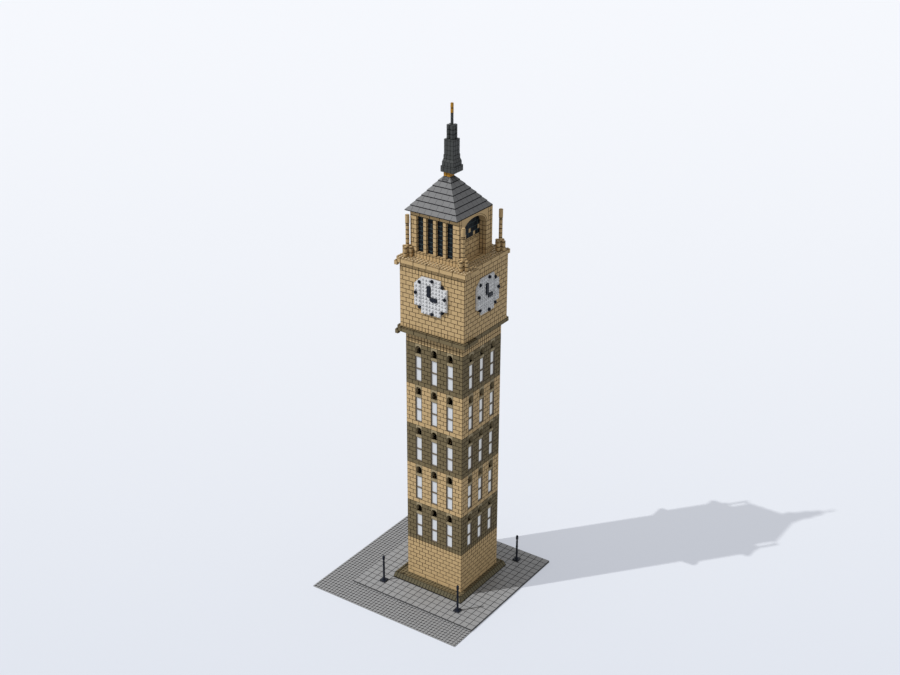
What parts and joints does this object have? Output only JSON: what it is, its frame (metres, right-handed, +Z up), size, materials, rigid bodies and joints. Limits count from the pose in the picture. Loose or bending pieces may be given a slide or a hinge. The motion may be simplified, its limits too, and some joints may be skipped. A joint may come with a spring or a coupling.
{
  "type": "toy brick clock tower",
  "caption": "Brick-built model of a tall square clock tower with arched belfry, stepped pyramid roof and spire, on a paved square stand with lamp posts.",
  "frame": {"origin": "centre of the underside of the base plate", "axes": "+Z up along the tower, -Y out of the front wall, +X out of the right wall"},
  "size_m": [0.384, 0.384, 1.0944],
  "materials": {
    "stand_grey": "moulded gloss",
    "paving_grey": "moulded gloss",
    "dark_tan": "moulded gloss",
    "tan": "moulded gloss",
    "window_white": "moulded gloss",
    "dial_white": "moulded gloss",
    "black": "moulded gloss",
    "roof_grey": "moulded gloss",
    "gold": "moulded gloss"
  },
  "bodies": {
    "root": {"back_wall": "tan", "back_windows": "window_white", "base_plate": "stand_grey", "belfry_back_wall": "tan", "belfry_columns": "tan", "belfry_front_wall": "tan", "belfry_left_arch": "tan", "belfry_left_screen": "tan", "belfry_left_wall": "tan", "belfry_lining": "black", "belfry_right_arch": "tan", "belfry_right_screen": "tan", "belfry_right_wall": "tan", "clock_back_wall": "tan", "clock_dial_back": "dial_white", "clock_dial_front": "dial_white", "clock_dial_left": "dial_white", "clock_dial_right": "dial_white", "clock_front_wall": "tan", "clock_hands": "black", "clock_left_wall": "tan", "clock_right_wall": "tan", "finial": "gold", "front_wall": "tan", "front_windows": "window_white", "gold_collar": "gold", "hour_markers": "black", "lamp_feet": "black", "lamp_heads": "black", "lamp_posts": "black", "left_wall": "tan", "left_windows": "window_white", "lower_cornice": "dark_tan", "neck_band": "tan", "pinnacle_posts": "tan", "pinnacle_turrets": "tan", "plaza_paving": "paving_grey", "plinth_skirt": "dark_tan", "right_wall": "tan", "right_windows": "window_white", "roof": "roof_grey", "spire_base": "roof_grey", "spire_body": "roof_grey", "spire_head": "roof_grey", "spire_rod": "roof_grey", "upper_cornice": "tan"}
  },
  "joints": []
}
